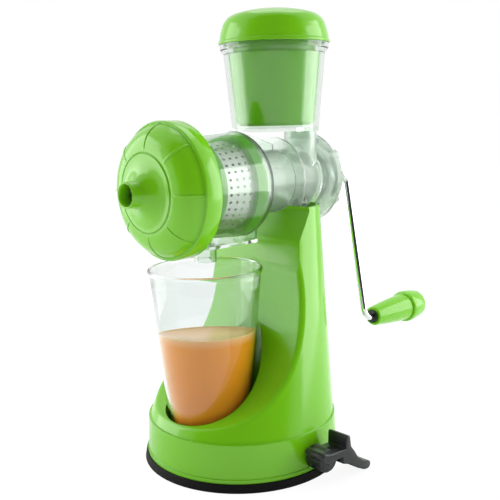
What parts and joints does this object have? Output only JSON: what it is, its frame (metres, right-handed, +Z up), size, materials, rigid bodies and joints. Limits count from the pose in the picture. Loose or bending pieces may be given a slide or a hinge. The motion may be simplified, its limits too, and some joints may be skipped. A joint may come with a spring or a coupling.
{
  "type": "manual wheatgrass juicer",
  "caption": "Manual wheatgrass juicer with a clear barrel, crank, strainer, hopper with pusher lid, front cap and cup on a green stand with a lever suction foot.",
  "frame": {"origin": "centre of the suction pad's underside, on the surface that the juicer stands on", "axes": "+Z up; the barrel lies along Y with the pulp nozzle towards -Y and the crank towards +Y; the vacuum lever is on the +X side"},
  "size_m": [0.176, 0.3097, 0.3459],
  "materials": {
    "green_shell": "gloss moulded",
    "green_trim": "gloss moulded",
    "clear_body": "clear moulded",
    "clear_cup": "clear moulded",
    "foot_rubber": "satin",
    "black_plastic": "satin",
    "white_plastic": "satin",
    "seal_rubber": "satin",
    "bright_steel": "polished",
    "strainer_steel": "satin",
    "screw_steel": "satin"
  },
  "bodies": {
    "frame": {"suction_pad": "foot_rubber", "base_plate": "black_plastic", "base_screws": "screw_steel", "stand": "green_shell", "body_screws": "screw_steel", "juicer_body": "clear_body", "hopper": "clear_body", "strainer": "strainer_steel", "strainer_front_ring": "green_trim", "strainer_rear_ring": "green_trim", "cap_gasket": "seal_rubber", "shaft_bush": "white_plastic", "shaft_seal": "seal_rubber", "rear_nut": "clear_body"},
    "drive": {"auger": "white_plastic", "auger_shaft": "bright_steel", "crank_hub": "bright_steel", "hub_screw": "screw_steel", "crank_arm": "bright_steel", "grip_washer": "screw_steel"},
    "grip": {"crank_grip": "green_shell", "grip_cap": "green_shell"},
    "plunger": {"hopper_lid": "green_shell", "pusher": "green_shell"},
    "cap": {"front_cap": "green_shell"},
    "cup": {"juice_cup": "clear_cup"},
    "lever": {"lock_lever": "black_plastic", "lock_shaft": "screw_steel", "lock_cam": "black_plastic", "lever_screw": "screw_steel"},
    "stem": {"suction_stem": "black_plastic"}
  },
  "joints": [
    {"name": "crank_turn", "type": "hinge", "parent": "frame", "child": "drive", "pos_m": [0, 0, 0.2138], "axis": [0, 1, 0], "continuous": true},
    {"name": "grip_spin", "type": "hinge", "parent": "drive", "child": "grip", "pos_m": [0.02257, 0, 0.08578], "axis": [0, 1, 0], "continuous": true},
    {"name": "lid_lift", "type": "slide", "parent": "frame", "child": "plunger", "axis": [0, 0, 1], "range_m": [0, 0.06]},
    {"name": "cap_off", "type": "slide", "parent": "frame", "child": "cap", "axis": [0, -1, 0], "range_m": [0, 0.03]},
    {"name": "cup_lift", "type": "slide", "parent": "frame", "child": "cup", "axis": [0, 0, 1], "range_m": [0, 0.008]},
    {"name": "lever_turn", "type": "hinge", "parent": "frame", "child": "lever", "pos_m": [0, 0, 0.018], "axis": [1, 0, 0], "range_deg": [0, 90]},
    {"name": "stem_lift", "type": "slide", "parent": "frame", "child": "stem", "axis": [0, 0, 1], "range_m": [0, 0.004]}
  ],
  "couplings": [
    {"joint": "stem_lift", "follows": "lever_turn", "m_per_rad": 0.0025465}
  ]
}
